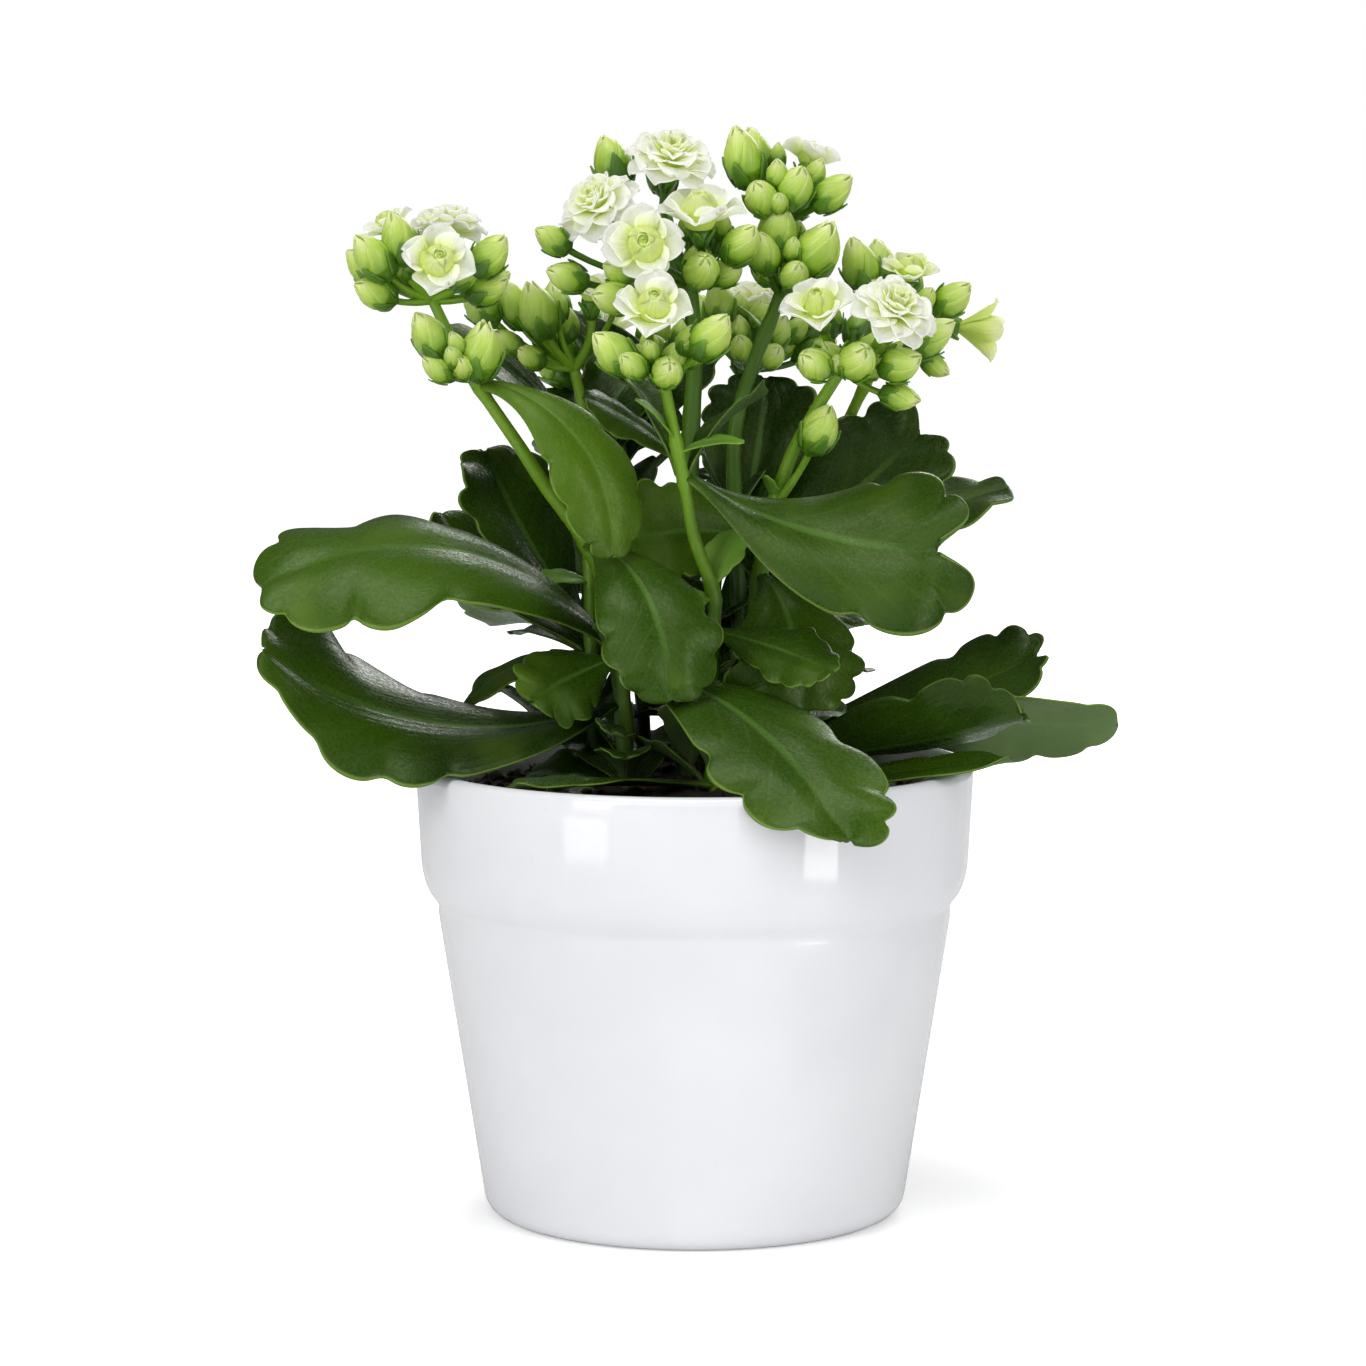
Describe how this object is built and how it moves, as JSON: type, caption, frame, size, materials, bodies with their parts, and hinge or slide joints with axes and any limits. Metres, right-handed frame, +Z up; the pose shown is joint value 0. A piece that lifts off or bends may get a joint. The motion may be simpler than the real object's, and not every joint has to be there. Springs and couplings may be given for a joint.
{
  "type": "potted flowering plant",
  "caption": "Potted kalanchoe: broad fleshy leaves with scalloped edges and upright stalks of green buds and double white flowers, in a tapered glazed pot with a deep rim band.",
  "frame": {"origin": "centre of the pot's flat foot, on the surface that the pot stands on", "axes": "+Z up along the pot's axis; -Y towards the viewer of the plant's best side, where the front leaf hangs over the rim; +X to that viewer's right"},
  "size_m": [0.1905, 0.1499, 0.2417],
  "materials": {
    "glaze": "glossy white glaze",
    "soil": "rough, granular",
    "stalk": "satin, fleshy",
    "leaf": "satin, waxy",
    "petal": "soft, matt"
  },
  "bodies": {
    "root": {"pot": "glaze", "soil": "soil", "stalk_back": "stalk", "stalk_back_left": "stalk", "stalk_centre": "stalk", "stalk_far_right": "stalk", "stalk_front": "stalk", "stalk_left": "stalk", "stalk_left_back": "stalk", "stalk_right": "stalk", "stalk_right_back": "stalk", "leaf_back_left": "leaf", "leaf_back_low": "leaf", "leaf_back_right": "leaf", "leaf_back_upper": "leaf", "leaf_back_upper_left": "leaf", "leaf_centre_dark": "leaf", "leaf_centre_folded": "leaf", "leaf_centre_front": "leaf", "leaf_centre_small": "leaf", "leaf_front_right": "leaf", "leaf_front_rim": "leaf", "leaf_left_arching": "leaf", "leaf_left_far": "leaf", "leaf_left_high": "leaf", "leaf_left_lower": "leaf", "leaf_left_small": "leaf", "leaf_left_standing": "leaf", "leaf_left_upper": "leaf", "leaf_low_centre": "leaf", "leaf_low_left": "leaf", "leaf_right_front": "leaf", "leaf_right_glossy": "leaf", "leaf_right_inner": "leaf", "leaf_right_inner_high": "leaf", "leaf_right_lobed": "leaf", "leaf_right_low_back": "leaf", "leaf_right_low_front": "leaf", "leaf_right_rim": "leaf", "leaf_right_standing": "leaf", "leaf_right_tip": "leaf", "leaf_rim_pale": "leaf", "bloom_back_1": "petal", "bloom_back_left_1": "petal", "bloom_centre_1": "petal", "bloom_centre_2": "petal", "bloom_centre_3": "petal", "bloom_centre_4": "petal", "bloom_far_right_1": "petal", "bloom_far_right_2": "petal", "bloom_front_1": "petal", "bloom_left_1": "petal", "bloom_left_2": "petal", "bloom_left_3": "petal", "bloom_left_back_1": "petal", "bloom_right_1": "petal", "bloom_right_2": "petal", "bloom_right_back_1": "petal"}
  },
  "joints": []
}
